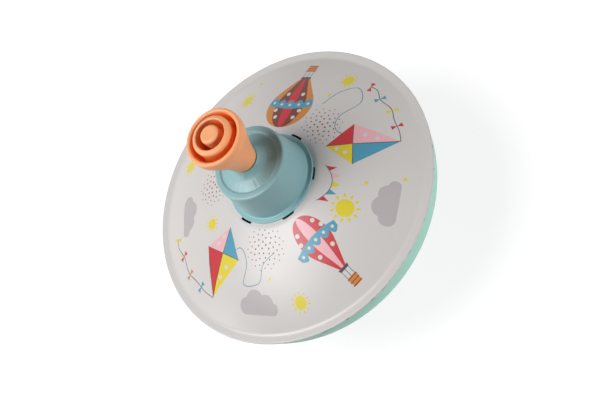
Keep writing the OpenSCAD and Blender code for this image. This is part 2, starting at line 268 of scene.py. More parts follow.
def corner_normals(profile, closed=False):
    """The normals before and after each point of a profile. A blunt corner has one for both."""
    following = profile[1:] + (profile[:1] if closed else [])
    steps = [b - a for a, b in zip(profile, following)]
    last = len(steps) - 1
    found = []
    for i, point in enumerate(profile):
        step_in = steps[i - 1] if closed or i else steps[0]
        step_out = steps[min(i, last)]
        before, after = side_of(step_in), side_of(step_out)
        if point.x < TINY:
            before = after = Vector((0, copysign(1, after.y)))
        elif before.dot(after) > SHARP:
            before = after = (before * step_in.length + after * step_out.length).normalized()
        found.append((before, after))
    return found


def spun(flat, turn):
    """A radius and height carried round the axis to an angle."""
    return Vector((flat.x * cos(turn), flat.x * sin(turn), flat.y))


class Surface:
    """Points in millimetres, and faces with a normal at each corner and a material."""

    def __init__(self):
        self.points = []
        self.faces = []

    def point(self, position):
        """Adds a point and gives its number."""
        self.points.append(Vector(position))
        return len(self.points) - 1

    def face(self, corners, normals, ink=0):
        self.faces.append((tuple(corners), tuple(normals), ink))

    def flat_face(self, corners, ink=0):
        """A face with one normal, square to its first corners."""
        a, b, c = (self.points[i] for i in corners[:3])
        self.face(corners, [(b - a).cross(c - b).normalized()] * len(corners), ink)


def revolve(surface, profile, segments=SEGMENTS, ink=0, closed=False, first=None, normals=None):
    """Turns a profile about the axis, with its outside on the left. first is a ring that is there already.

    ink is a material, or one for each point of the profile, where a face takes the higher of its two.
    """
    normals = normals or corner_normals(profile, closed)
    inks = ink if isinstance(ink, list) else [ink] * len(profile)
    turns = [tau * i / segments for i in range(segments)]
    rings = [first] if first else []
    for p in profile[len(rings):]:
        rings.append([surface.point(spun(p, t)) for t in (turns[:1] if p.x < TINY else turns)])
    for j in range(len(profile) - (not closed)):
        k = (j + 1) % len(profile)
        near, far = rings[j], rings[k]
        near_n, far_n = normals[j][1], normals[k][0]
        for i in range(segments):
            m = (i + 1) % segments
            corners = [(near, i, near_n), (far, i, far_n), (far, m, far_n), (near, m, near_n)]
            if len(near) == 1:
                corners.pop(3)
            if len(far) == 1:
                corners.pop(2)
            surface.face([ring[min(n, len(ring) - 1)] for ring, n, _ in corners],
                         [spun(normal, turns[n]) for _, n, normal in corners], max(inks[j], inks[k]))


def sector(surface, outline, middle, half, steps=6):
    """Sweeps a closed outline through part of a turn, with its outside on the left, and caps it."""
    turns = [middle + half * (2 * i / steps - 1) for i in range(steps + 1)]
    rings = [[surface.point(spun(p, t)) for p in outline] for t in turns]
    for one, two in zip(rings, rings[1:]):
        for i in range(len(outline)):
            k = (i + 1) % len(outline)
            surface.flat_face([one[i], one[k], two[k], two[i]])
    surface.flat_face(rings[0][::-1])
    surface.flat_face(rings[-1])


def closed_sheet(skin, inside):
    """A smooth skin with a second face a sheet's thickness behind it, and a wall along each open edge."""
    normals = {c: n for corners, ns, _ in skin.faces for c, n in zip(corners, ns)}
    count = len(skin.points)
    sheet = Surface()
    sheet.points = skin.points + [p - normals[i] * SHEET_T for i, p in enumerate(skin.points)]
    open_edges = {}
    for corners, ns, ink in skin.faces:
        sheet.face(corners, ns, ink)
        sheet.face([c + count for c in corners[::-1]], [-n for n in ns[::-1]], inside)
        for a, b in zip(corners, corners[1:] + corners[:1]):
            if open_edges.pop((b, a), None) is None:
                open_edges[a, b] = True
    for a, b in open_edges:
        sheet.flat_face([b, a, a + count, b + count], inside)
    return sheet


def add_object(name, data):
    """A new object in the scene."""
    thing = bpy.data.objects.new(name, data)
    bpy.context.scene.collection.objects.link(thing)
    return thing


def make_piece(name, surface, materials, body, node):
    """An object of the surface that rides on a body and stands for a CAD node."""
    mesh = bpy.data.meshes.new(name)
    mesh.from_pydata([p * MM for p in surface.points], [], [f[0] for f in surface.faces])
    for material in materials:
        mesh.materials.append(material)
    mesh.polygons.foreach_set("material_index", [f[2] for f in surface.faces])
    mesh.polygons.foreach_set("use_smooth", [True] * len(surface.faces))
    mesh.normals_split_custom_set([n for f in surface.faces for n in f[1]])
    piece = add_object(name, mesh)
    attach(piece, body)
    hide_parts(node)


def linear(red, green, blue):
    """A colour given as 0 to 255 sRGB levels, in the renderer's linear values."""
    levels = [c / 255 for c in (red, green, blue)]
    return (*[c / 12.92 if c <= 0.04045 else ((c + 0.055) / 1.055) ** 2.4 for c in levels], 1.0)


def shade(colour, factor):
    """A colour made darker or lighter."""
    return (*[c * factor for c in colour[:3]], 1.0)


class Nodes:
    """A node tree, with short calls for the nodes that the finishes share."""

    def __init__(self, tree):
        self.tree = tree
        tree.nodes.clear()

    def add(self, kind, **settings):
        node = self.tree.nodes.new(kind)
        for key, value in settings.items():
            setattr(node, key, value)
        return node

    def feed(self, socket, value):
        """Links a socket to another one, or sets a plain value on it."""
        if isinstance(value, bpy.types.NodeSocket):
            self.tree.links.new(value, socket)
        else:
            socket.default_value = value

    def math(self, operation, a, b=0.0):
        node = self.add("ShaderNodeMath", operation=operation)
        self.feed(node.inputs[0], a)
        self.feed(node.inputs[1], b)
        return node.outputs[0]

    def ranged(self, value, from_low, from_high, to_low=0.0, to_high=1.0):
        """A value carried from one range to another, and held at its ends."""
        node = self.add("ShaderNodeMapRange")
        for socket, v in zip(node.inputs, (value, from_low, from_high, to_low, to_high)):
            self.feed(socket, v)
        return node.outputs[0]

    def mix(self, factor, a, b):
        node = self.add("ShaderNodeMix", data_type="RGBA")
        self.feed(node.inputs[0], factor)
        self.feed(node.inputs[6], a)
        self.feed(node.inputs[7], b)
        return node.outputs[2]

    def seen(self):
        """1 for what the eye sees, straight, reflected or through glass, and 0 for light that falls."""
        path = self.add("ShaderNodeLightPath").outputs
        direct = self.math("MAXIMUM", path["Is Camera Ray"], path["Is Glossy Ray"])
        return self.math("MAXIMUM", direct, path["Is Transmission Ray"])


class Finish(Nodes):
    """A material around one principled shader, mapped in the object's own coordinates."""

    def __init__(self, name):
        self.material = bpy.data.materials.new(name)
        self.material.use_nodes = True
        super().__init__(self.material.node_tree)
        self.shader = self.add("ShaderNodeBsdfPrincipled")
        output = self.add("ShaderNodeOutputMaterial")
        self.feed(output.inputs["Surface"], self.shader.outputs["BSDF"])
        self.here = self.add("ShaderNodeTexCoord").outputs["Object"]
        split = self.add("ShaderNodeSeparateXYZ")
        self.feed(split.inputs[0], self.here)
        self.x, self.y, self.z = split.outputs
        squares = [self.math("MULTIPLY", axis, axis) for axis in (self.x, self.y)]
        self.radius = self.math("SQRT", self.math("ADD", *squares))

    def noise(self, scale, detail=2.0, vector=None):
        node = self.add("ShaderNodeTexNoise")
        self.feed(node.inputs["Vector"], vector or self.here)
        self.feed(node.inputs["Scale"], scale)
        self.feed(node.inputs["Detail"], detail)
        return node.outputs["Fac"]

    def varied(self, noise, lowest, highest):
        """A noise's usual values carried to another range."""
        return self.ranged(noise, NOISE_LOW, NOISE_HIGH, lowest, highest)

    def around(self, spokes, depth):
        """Coordinates that change quickly round the axis and slowly along a radius or the height."""
        node = self.add("ShaderNodeCombineXYZ")
        for socket, axis in zip(node.inputs, (self.x, self.y)):
            self.feed(socket, self.math("MULTIPLY", self.math("DIVIDE", axis, self.radius), spokes))
        self.feed(node.inputs[2], self.math("MULTIPLY", self.math("ADD", self.z, self.radius), depth))
        return node.outputs[0]

    def stretched(self, scale):
        """Coordinates with a scale of their own along each axis."""
        node = self.add("ShaderNodeMapping")
        self.feed(node.inputs["Vector"], self.here)
        self.feed(node.inputs["Scale"], scale)
        return node.outputs[0]

    def bump(self, height, distance, strength, under=None):
        """A normal tilted by a height, on top of another bump if one is given."""
        node = self.add("ShaderNodeBump")
        self.feed(node.inputs["Height"], height)
        self.feed(node.inputs["Distance"], distance)
        self.feed(node.inputs["Strength"], strength)
        if under:
            self.feed(node.inputs["Normal"], under)
        return node.outputs["Normal"]

    def done(self, colour, roughness, normal, metallic=0.0):
        """Feeds the shader and gives the material."""
        self.feed(self.shader.inputs["Base Color"], colour)
        self.feed(self.shader.inputs["Roughness"], roughness)
        self.feed(self.shader.inputs["Normal"], normal)
        self.feed(self.shader.inputs["Metallic"], metallic)
        return self.material


def rim_wear(finish):
    """1 in the dashes under the rolled rim where the print is worn off, and 0 elsewhere."""
    under = finish.ranged(finish.z, (RIM_Z - WEAR_START) * MM, (RIM_Z - WEAR_FULL) * MM)
    nose = finish.ranged(finish.radius, (BODY_R - NOSE_START) * MM, (BODY_R - NOSE_FULL) * MM)
    dashes = finish.noise(scale=1.0, detail=3.0, vector=finish.around(spokes=16, depth=900))
    band = finish.math("MULTIPLY", under, nose)
    return finish.math("MULTIPLY", band, finish.ranged(dashes, 0.57, 0.6))


def lacquer(name, colour, gloss=0.32, worn_rim=False):
    """Printed tin under clear lacquer, with a faint grain, on a sheet that isn't quite flat."""
    finish = Finish(name)
    clouding = finish.mix(finish.noise(scale=18), shade(colour, 0.97), shade(colour, 1.02))
    grain = finish.varied(finish.noise(scale=2600, detail=1.0), 0.0, 0.5)
    paint = finish.mix(grain, clouding, shade(colour, 0.95))
    roughness = finish.varied(finish.noise(scale=45), gloss - 0.04, gloss + 0.04)
    if worn_rim:
        worn = rim_wear(finish)
        paint = finish.mix(worn, paint, linear(96, 88, 82))
        roughness = finish.math("ADD", roughness, finish.math("MULTIPLY", worn, 0.2))
    waves = finish.bump(finish.noise(scale=26, detail=1.0), distance=0.0003, strength=0.2)
    return finish.done(paint, roughness, waves)


def moulding(name, colour, gloss, painted_glow=None, brushed_z=None):
    """Satin moulded plastic with a fine grain.

    The glow colour, if given, is painted low down in the knob's grooves for light that shines through the
    plastic walls, and brushed_z is a height above which fine lines run out from the axis.
    """
    finish = Finish(name)
    paint = finish.mix(finish.noise(scale=40), shade(colour, 0.97), shade(colour, 1.02))
    # Painted glow: a deeper orange painted low in the knob's grooves, for light through the plastic walls
    if painted_glow:
        depth = finish.ranged(finish.z, (LIP_Z + PAINTED_GLOW_START) * MM, (LIP_Z - PAINTED_GLOW_FULL) * MM)
        paint = finish.mix(depth, paint, painted_glow)
    roughness = finish.varied(finish.noise(scale=300), gloss - 0.03, gloss + 0.04)
    grain = finish.bump(finish.noise(scale=1600), distance=0.00002, strength=0.2)
    if brushed_z:
        brushed = finish.ranged(finish.z, (brushed_z - BRUSH_FADE) * MM, brushed_z * MM)
        lines = finish.noise(scale=1.0, detail=1.0, vector=finish.around(spokes=9, depth=40))
        height = finish.math("MULTIPLY", lines, brushed)
        grain = finish.bump(height, distance=0.0005, strength=0.5, under=grain)
    return finish.done(paint, roughness, grain)


def metal(name, colour, mark_scale, gloss):
    """Bare metal with rolling or turning marks."""
    finish = Finish(name)
    marks = finish.noise(scale=1.0, detail=3.0, vector=finish.stretched(mark_scale))
    tone = finish.mix(marks, shade(colour, 0.8), shade(colour, 1.08))
    roughness = finish.varied(marks, gloss - 0.06, gloss + 0.1)
    relief = finish.bump(marks, distance=0.00005, strength=0.3)
    return finish.done(tone, roughness, relief, metallic=1.0)


# Inks of the print, and the finishes of all the pieces
INK_COLOURS = {
    "red": linear(196, 34, 44),
    "blue": linear(70, 150, 178),
    "yellow": linear(222, 204, 44),
    "pink": linear(236, 178, 186),
    "ochre": linear(206, 130, 48),
    "brown": linear(110, 40, 26),
    "grey": linear(184, 178, 178),
    "slate": linear(58, 60, 70),
    "thread": linear(58, 116, 140),
    "wine": linear(134, 24, 38),
}
INKS = {name: i for i, name in enumerate(["white", *INK_COLOURS, "bare"])}
white_tin = lacquer("white_tin", linear(212, 208, 206), worn_rim=True)
ink_tins = [lacquer("ink_" + name, colour) for name, colour in INK_COLOURS.items()]
mint_tin = lacquer("mint_tin", linear(170, 222, 206), gloss=0.5)
bare_tin = metal("bare_tin", linear(196, 196, 194), mark_scale=(300, 300, 3000), gloss=0.32)
teal_plastic = moulding("teal_plastic", linear(140, 182, 187), gloss=0.33,
                        brushed_z=TOWER_TOP_Z - TOWER_DISH)
orange_plastic = moulding("orange_plastic", linear(255, 175, 120), gloss=0.42)
# The knob's grooves: the same orange, with a painted glow that turns deeper orange low down, for light
# through the plastic
groove_glow_plastic = moulding("groove_glow_plastic", linear(255, 175, 120), gloss=0.6, painted_glow=linear(255, 130, 16))
natural_plastic = moulding("natural_plastic", linear(232, 228, 216), gloss=0.5)
driver_plastic = moulding("driver_plastic", linear(212, 120, 70), gloss=0.5)
steel = metal("steel", linear(200, 200, 202), mark_scale=(2500, 2500, 200), gloss=0.3)


def ring_plan(radius, count):
    """Plan points evenly round the axis."""
    return [radius * heading_vector(360 * i / count) for i in range(count)]


class Picture:
    """Inked outlines on the plan of the dome, in millimetres. A later outline covers an earlier one."""

    def __init__(self):
        self.outlines = []

    def fill(self, points, ink):
        self.outlines.append((points, INKS[ink]))

    def disc(self, centre, radius, ink, sides=24):
        self.fill([centre + p for p in ring_plan(radius, sides)], ink)

    def line(self, points, width, ink):
        self.fill(beside(points, width / 2) + beside(points, -width / 2)[::-1], ink)


def on_plan(radius, angle):
    """A plan point at a radius and an angle in degrees."""
    return radius * heading_vector(angle)


def place(radius, angle, turn=0, size=1):
    """Maps a drawing to the dome, with its top towards the tower, then turned by some degrees."""
    centre = on_plan(radius, angle)
    across = size * heading_vector(angle + 90 + turn)
    return lambda u, v: centre + u * across + v * Vector((-across.y, across.x))


def balloon(picture, at, gores, band, dots):
    """A hot-air balloon: a gored envelope with a scalloped band, ropes and a basket."""
    crown_r, mouth, lean = 13.5, 3.2, radians(35)
    shoulder_v = -crown_r * sin(lean)
    mouth_v = shoulder_v - (crown_r * cos(lean) - mouth) / sin(lean) * cos(lean)

    def half_width(v):
        if v > shoulder_v:
            return sqrt(max(crown_r ** 2 - v ** 2, 0))
        return mouth + (v - mouth_v) * sin(lean) / cos(lean)

    rows = 22
    heights = [mouth_v + (crown_r - mouth_v) * sin(pi / 2 * i / rows) for i in range(rows + 1)]
    seams = [-1, -0.64, -0.22, 0.22, 0.64, 1]
    for a, b, ink in zip(seams, seams[1:], gores):
        left = [at(a * half_width(v), v) for v in heights]
        right = [at(b * half_width(v), v) for v in heights[:-1]]
        picture.fill(left + right[::-1], ink)
    dot_r = 1.35
    for u, v in dots:
        picture.disc(at(u, v), dot_r, "white")
    balloon_band(picture, at, half_width, band)
    balloon_basket(picture, at, mouth, mouth_v)


def balloon_band(picture, at, half_width, ink):
    """A sagging band across a balloon, with scallops under it and a dot over each."""
    base_v, height, sag, scallops, scallop_h, steps = -1.5, 3, 2, 5, 2.6, 40
    inside, dot_rise, dot_r, dot_sides = 0.995, 0.6, 1, 16
    shares = [2 * i / steps - 1 for i in range(steps + 1)]
    upper = [(t, base_v + height - sag * t * t) for t in shares]
    lower = [(t, base_v - sag * t * t - scallop_h * abs(sin(scallops / 2 * pi * (t + 1)))) for t in shares]
    picture.fill([at(inside * t * half_width(v), v) for t, v in upper + lower[::-1]], ink)
    for t in (-0.8, -0.4, 0, 0.4, 0.8):
        v = base_v + dot_rise - sag * t * t
        picture.disc(at(t * half_width(v), v), dot_r, "white", dot_sides)


def balloon_basket(picture, at, mouth, mouth_v):
    """The collar under a balloon's mouth, and a woven basket on three ropes."""
    collar_v, basket_v, basket_low = mouth_v - 1.4, mouth_v - 5.4, mouth_v - 10
    collar, basket_top, basket_foot = 2.7, 3.1, 2.5
    rope, rope_w = 2.3, 0.35
    weave, weave_w, weave_inset, weave_middle = 2.95, 0.5, 0.5, 2.3
    for u in (-rope, 0, rope):
        picture.line([at(u, collar_v), at(u, basket_v)], rope_w, "slate")
    picture.fill([at(-mouth, mouth_v), at(-collar, collar_v),
                  at(collar, collar_v), at(mouth, mouth_v)], "slate")
    picture.fill([at(-basket_top, basket_v), at(-basket_foot, basket_low),
                  at(basket_foot, basket_low), at(basket_top, basket_v)], "ochre")
    for v in (basket_v - weave_inset, basket_v - weave_middle, basket_low + weave_inset):
        picture.line([at(-weave, v), at(weave, v)], weave_w, "brown")


def kite_tail(picture, start, span, bows):
    """A waving line from a kite's foot out to the rim, through span degrees, with bows on it."""
    radius, angle = start.length, degrees(atan2(start.y, start.x))
    end_r, waves, swing, steps, width = 79.5, 2.5, 1.6, 60, 0.45
    bow_half_l, bow_half_w = 3.2, 1.5
    tail = []
    for i in range(steps + 1):
        t = i / steps
        r = radius + (end_r - radius) * (1 - (1 - t) ** 3) + swing * sin(tau * waves * t) * t
        tail.append(on_plan(r, angle + span * t))
    picture.line(tail, width, "slate")
    for n, ink in enumerate(bows):
        i = round(steps * (n + 1) / len(bows)) - 1
        ahead = (tail[i + 1] - tail[i]).normalized() * bow_half_w
        for side in (-bow_half_l, bow_half_l):
            wing = tail[i] + side * side_of(ahead)
            picture.fill([tail[i], wing + ahead, wing - ahead], ink)


def kite(picture, at, inks, span, bows):
    """A diamond kite of four panels with crossed spars, dots and a tail."""
    top, right, foot, left, cross = (0, 15), (10.5, 3), (0, -17), (-10.5, 3), (0, 3)
    spar_w, dot_r, dot_sides = 0.4, 1.3, 18
    kite_tail(picture, at(*foot), span, bows)
    corners = [top, right, foot, left]
    for a, b, ink in zip(corners, corners[1:] + corners[:1], inks):
        picture.fill([at(*cross), at(*a), at(*b)], ink)
    picture.line([at(*top), at(*foot)], spar_w, "slate")
    picture.line([at(*left), at(*right)], spar_w, "slate")
    for u, v in ((4.2, -2.2), (2, -7.4), (-4.2, 6.2), (-2, 10)):
        picture.disc(at(u, v), dot_r, "white", dot_sides)


def cloud(picture, at, size, ink):
    """A cloud of round lobes on a flat base."""
    lobes = ((-6, 0.3, 3.3), (-1.6, 2.2, 4.5), (3.8, 1.2, 3.8), (7.4, -0.6, 2.4))
    left, right, base = lobes[0][0], lobes[-1][0], -3
    for u, v, r in lobes:
        picture.disc(at(u, v), r * size, ink)
    picture.fill([at(left, base), at(right, base), at(right, 0), at(left, 0)], ink)


def sun(picture, centre, radius):
    """A sun with pointed rays, whose sizes are shares of its radius."""
    rays, ray_start, ray_end, ray_half = 11, 1.2, 1.75, 0.2
    for i in range(rays):
        out = radius * heading_vector(360 * i / rays)
        side = ray_half * Vector((-out.y, out.x))
        foot = centre + ray_start * out
        picture.fill([foot - side, centre + ray_end * out, foot + side], "yellow")
    picture.disc(centre, radius, "yellow")


def dot_patch(picture, centre, count):
    """Small dots on a sunflower spiral, smaller away from the middle and clear of the tower's seat."""
    golden = 180 * (3 - sqrt(5))
    spread, dot_r, shrink, dot_sides, clear = 1.75, 0.62, 0.28, 8, 1.5
    for i in range(count):
        spot = centre + spread * sqrt(i + 0.5) * heading_vector(i * golden)
        if spot.length > LAND_R + clear:
            picture.disc(spot, dot_r - shrink * i / count, "wine", dot_sides)


def bunting(picture, radius, start, end, inks):
    """A sagging string of pennants between two angles in degrees."""
    sag, pennant_half, pennant_l, string_w = 5, 2, 5.4, 0.4
    steps = 6 * len(inks)
    points = [on_plan(radius + sag * sin(pi * i / steps), start + (end - start) * i / steps)
              for i in range(steps + 1)]
    for n, ink in enumerate(inks):
        i = round((n + 0.5) * steps / len(inks))
        along = pennant_half * (points[i + 1] - points[i - 1]).normalized()
        point = points[i] + pennant_l * points[i].normalized()
        picture.fill([points[i] - along, points[i] + along, point], ink)
    picture.line(points, string_w, "slate")


def thread(picture, places):
    """A thin loose string along a smooth curve through places given by radius and degrees."""
    steps, width = 12, 0.42
    points, fine = [on_plan(*p) for p in places], []
    ends = [points[0]] + points + [points[-1]]
    for p0, p1, p2, p3 in zip(ends, ends[1:], ends[2:], ends[3:]):
        for i in range(steps):
            t = i / steps
            fine.append(0.5 * (2 * p1 + (p2 - p0) * t + (2 * p0 - 5 * p1 + 4 * p2 - p3) * t ** 2
                               + (3 * p1 - p0 - 3 * p2 + p3) * t ** 3))
    picture.line(fine + [points[-1]], width, "thread")


def dome_picture():
    """Balloons and kites in a sky of clouds, suns and bunting."""
    picture = Picture()
    for radius, angle, count in ((43, -12, 60), (42, -152, 60), (43, 118, 50)):
        dot_patch(picture, on_plan(radius, angle), count)
    for radius, angle, turn, size, ink in ((75, -74, 6, 1.45, "grey"), (64, 92, 5, 1.2, "pink"),
                                           (68, 130, -6, 1.35, "grey"), (75, -158, 0, 1.4, "grey")):
        cloud(picture, place(radius, angle, turn, size), size, ink)
    for radius, angle, size in ((53, -84, 5.4), (76, 1, 3.6), (76, 102, 4.2), (48, 148, 3.2),
                                (76, -136, 3.8), (70, 58, 3.8)):
        sun(picture, on_plan(radius, angle), size)
    spark_r, spark_sides = 1.1, 14
    for radius, angle in ((60, -66), (80, -62), (62, 3), (80, 50), (80, 82), (60, -150), (80, 146)):
        picture.disc(on_plan(radius, angle), spark_r, "yellow", spark_sides)
    bunting(picture, 36, -88, -52, ["red", "blue", "yellow", "pink", "red"])
    bunting(picture, 36, 66, 106, ["ochre", "blue", "red", "yellow", "pink"])
    thread(picture, ((56, -36), (48, -24), (54, -15), (69, -15), (75, -7), (67, -1), (55, 2)))
    thread(picture, ((58, 174), (45, 184), (52, 193), (64, 193), (62, 203), (52, 206), (46, 216)))
    kite(picture, place(57, -40, -14, 1.3), ["red", "pink", "blue", "yellow"],
         span=34, bows=["red", "yellow", "blue", "red"])
    kite(picture, place(57, 172, 12, 1.3), ["blue", "yellow", "red", "pink"],
         span=-38, bows=["blue", "ochre", "red", "yellow"])
    spots = [(-5.6, 7), (-7.4, 2.6), (-4.6, -8.2), (5.6, 7), (7.4, 2.6), (4.6, -8.2)]
    balloon(picture, place(49.5, -112, 6, 1.17), ["white", "red", "pink", "red", "white"], "blue", spots)
    balloon(picture, place(49.5, 26, -6, 1.17), ["ochre", "brown", "red", "brown", "ochre"], "blue", spots)
    return picture


def dome_line():
    """Outer line of the upper shell from its hole to its hem, and the point where its hollow bend starts."""
    run, drop = HEM_CENTRE_R - RIM_BAND - LAND_R, DOME_RISE - RIM_BEND_R
    half = radians(DOME_CURVE / 2)
    tilt = asin(RIM_BEND_R * cos(half) / hypot(run, drop)) + atan2(drop, run)
    chord = run * cos(tilt) + drop * sin(tilt) - RIM_BEND_R * sin(half)
    hole_r = SLEEVE_R + SLEEVE_WALL + STRIP_GAP
    land_z = SEAT_Z - SHEET_T / 2
    dome_steps, rim_steps, hem_steps = 40, 12, 14
    path = bent((LAND_R, land_z), -degrees(tilt - half), [
        (0, chord / (2 * sin(half)), -DOME_CURVE, dome_steps),
        (0, RIM_BEND_R, degrees(tilt + half), rim_steps),
        (RIM_BAND, HEM_R, -180, hem_steps),
        (HEM_LAP, 0, 0, 0)])
    return beside([Vector((hole_r, land_z))] + path, SHEET_T / 2), dome_steps + 1


def bowl_line():
    """Outer line of the lower shell from its flange to the hole around the foot's neck."""
    flange_r = HEM_CENTRE_R - HEM_PLAY
    flange_z = RIM_Z - 1.5 * SHEET_T
    wall_r = HEM_CENTRE_R - HEM_LAP - HEM_WALL_GAP - SHEET_T / 2
    seat_r = FOOT_R + SEAT_MARGIN
    sweep, slope = 90 - BOWL_SLOPE, radians(BOWL_SLOPE)
    side_end_r = wall_r - BOWL_SIDE_R * (1 - cos(radians(sweep)))
    slope_l = (side_end_r - seat_r - SEAT_BEND_R * sin(slope)) / cos(slope)
    flange_steps, side_steps, seat_steps = 6, 40, 8
    path = bent((flange_r, flange_z), 180, [
        (flange_r - wall_r - FLANGE_BEND_R, FLANGE_BEND_R, 90, flange_steps),
        (flange_z - FLANGE_BEND_R - RIM_Z + BOWL_WALL_H, BOWL_SIDE_R, -sweep, side_steps),
        (slope_l, SEAT_BEND_R, -BOWL_SLOPE, seat_steps),
        (seat_r - NECK_R - REST_GAP, 0, 0, 0)])
    return beside(path, SHEET_T / 2)


def slot_plans():
    """Plans of the slots that the tower's hooks go through."""
    half = degrees(asin(SLOT_W / 2 / SLOT_R))
    inner_r = HOOK_R - HOOK_T - HOOK_PLAY
    steps = 8
    plans = []
    for i in range(HOOK_COUNT):
        middle = 360 * i / HOOK_COUNT
        plans.append(arc((0, 0), SLOT_R, middle - half, middle + half, steps)
                     + arc((0, 0), inner_r, middle + half, middle - half, steps))
    return plans


def signed_area(loop):
    """Area of a closed plan outline, positive where it runs anticlockwise."""
    return sum(a.cross(b) for a, b in zip(loop, loop[1:] + loop[:1])) / 2


def inked_triangles(inner_r, outer_r):
    """Plan points and inked triangles of the dome's picture, between two rings and around the slots."""
    points, outlines, inks = [], [], []

    def outline(loop, ink):
        outlines.append(range(len(points), len(points) + len(loop)))
        points.extend(loop if signed_area(loop) > 0 else loop[::-1])
        inks.append(ink)

    outline(ring_plan(outer_r, RIM_SEGMENTS), INKS["white"])
    for hole in [ring_plan(inner_r, INNER_SEGMENTS)] + slot_plans():
        outline(hole, None)
    holes = {i for i, ink in enumerate(inks) if ink is None}
    for loop, ink in dome_picture().outlines:
        outline(loop, ink)
    gap, margin = 2.6, 1.3
    for i in range(int((outer_r - inner_r - 2 * margin) / gap) + 1):
        points.extend(ring_plan(inner_r + margin + gap * i, SEGMENTS))
    whole_hull, loops = 0, [list(numbers) for numbers in outlines]
    plan, _, triangles, _, _, sources = delaunay_2d_cdt(points, [], loops, whole_hull, WELD, True)
    inked = [(triangle, inks[max(source)]) for triangle, source in zip(triangles, sources)
             if source and not holes & set(source)]
    return plan, inked


def upper_shell_skin():
    """The outside of the upper shell: a triangulated picture between plain turned rings."""
    line, edge = dome_line()
    normals = corner_normals(line)
    radii = [p.x for p in line[:edge + 1]]
    inner_r, outer_r = PRINT_START_R, radii[-1]
    plan, inked = inked_triangles(inner_r, outer_r)
    skin = Surface()
    used = {}

    def lifted(index):
        """Number and normal of a plan point's place on the dome."""
        p = plan[index]
        turn = atan2(p.y, p.x)
        i = min(bisect_right(radii, p.length), edge) - 1
        t = min(max((p.length - radii[i]) / (radii[i + 1] - radii[i]), 0), 1)
        if index not in used:
            used[index] = skin.point(spun(Vector((p.length, line[i].lerp(line[i + 1], t).y)), turn))
        return used[index], spun(normals[i][1].lerp(normals[i + 1][0], t).normalized(), turn)

    for triangle, ink in inked:
        numbers, corner_ns = zip(*[lifted(i) for i in triangle])
        skin.face(numbers, corner_ns, ink)

    def found_ring(radius, count):
        """Numbers of the picture's points on a ring, in order round the axis."""
        ring = [None] * count
        for index, number in used.items():
            if abs(plan[index].length - radius) < ON_RING:
                ring[round(atan2(plan[index].y, plan[index].x) / tau * count) % count] = number
        return ring

    revolve(skin, line[edge:], RIM_SEGMENTS, INKS["white"], first=found_ring(outer_r, RIM_SEGMENTS),
            normals=normals[edge:])
    outer = found_ring(inner_r, INNER_SEGMENTS)
    inner = [skin.point(spun(line[0], tau * i / INNER_SEGMENTS)) for i in range(INNER_SEGMENTS)]
    for i in range(INNER_SEGMENTS):
        k = (i + 1) % INNER_SEGMENTS
        skin.face([inner[i], outer[i], outer[k], inner[k]], [Vector((0, 0, 1))] * 4, INKS["white"])
    return skin


def build_upper_shell():
    """The printed dome, with its rolled hem."""
    make_piece("printed_upper_shell", closed_sheet(upper_shell_skin(), INKS["bare"]),
               [white_tin, *ink_tins, bare_tin], "top_body", "upper_shell")


def build_lower_shell():
    """The bowl, with the flange that the hem holds."""
    skin = Surface()
    revolve(skin, bowl_line(), RIM_SEGMENTS)
    make_piece("mint_lower_shell", closed_sheet(skin, 1), [mint_tin, bare_tin],
               "top_body", "lower_shell")


def tower_outside():
    """Outer line of the tower: its flange, side, rim, dish and crown."""
    flange_z = SEAT_Z + TOWER_FLANGE_H
    rim_in_r = TOWER_TOP_R - TOWER_RIM_W
    dish_turn = degrees(acos(1 - TOWER_DISH / (EDGE_M + DISH_FILLET)))
    rim_c = Vector((rim_in_r + EDGE_M, TOWER_TOP_Z - EDGE_M))
    dish_c = rim_c + (EDGE_M + DISH_FILLET) * heading_vector(90 + dish_turn)
    crown_bend = CROWN_SHARE * (rim_in_r - CROWN_R)
    crown_c = Vector((CROWN_R, CROWN_Z - EDGE_S)) + crown_bend * heading_vector(90 - CROWN_SLOPE)
    crown_steps = 24
    return [
        Vector((TOWER_BASE_R, SEAT_Z)),
        *arc((TOWER_BASE_R - EDGE_S, flange_z - EDGE_S), EDGE_S, 0, 90),
        *arc((TOWER_FOOT_R + TOWER_FILLET, flange_z + TOWER_FILLET), TOWER_FILLET, -90, -180),
        *arc((TOWER_TOP_R - EDGE_L, TOWER_TOP_Z - EDGE_L), EDGE_L, 6, 90),
        *arc(rim_c, EDGE_M, 90, 90 + dish_turn),
        *arc(dish_c, DISH_FILLET, dish_turn - 90, -90 - DISH_SLOPE),
        *arc(crown_c, crown_bend, -90 - DISH_SLOPE, -90 - CROWN_SLOPE, crown_steps),
        *arc((CROWN_R - EDGE_S, CROWN_Z - EDGE_S), EDGE_S, 0, 90)]


def tower_inside():
    """Inner line of the tower, from the bush's seat down to the clutch housing's recess."""
    roof_z = TOWER_TOP_Z - TOWER_DISH - TOWER_WALL
    roof_rise = (CROWN_Z - TOWER_TOP_Z) / 2
    plate_z = SEAT_Z + HOUSING_FLANGE_T
    inner_top_r = TOWER_TOP_R - TOWER_WALL - DRAFT
    inner_foot_r = TOWER_FOOT_R - TOWER_WALL - DRAFT
    recess_r = inner_foot_r + HOUSING_LAP + DRAFT
    bore_r, flange_hole_r = BUSH_R + PUSH, BUSH_FLANGE_R + PUSH
    return [Vector(p) for p in (
        (flange_hole_r, CROWN_Z), (flange_hole_r, BUSH_SEAT_Z), (bore_r, BUSH_SEAT_Z), (bore_r, BUSH_END_Z),
        (bore_r + TOWER_WALL, BUSH_END_Z), (bore_r + TOWER_WALL + EDGE_S, roof_z + roof_rise),
        (inner_top_r - EDGE_M, roof_z), (inner_top_r, roof_z - EDGE_M), (inner_foot_r, plate_z),
        (recess_r, plate_z), (recess_r, SEAT_Z))]


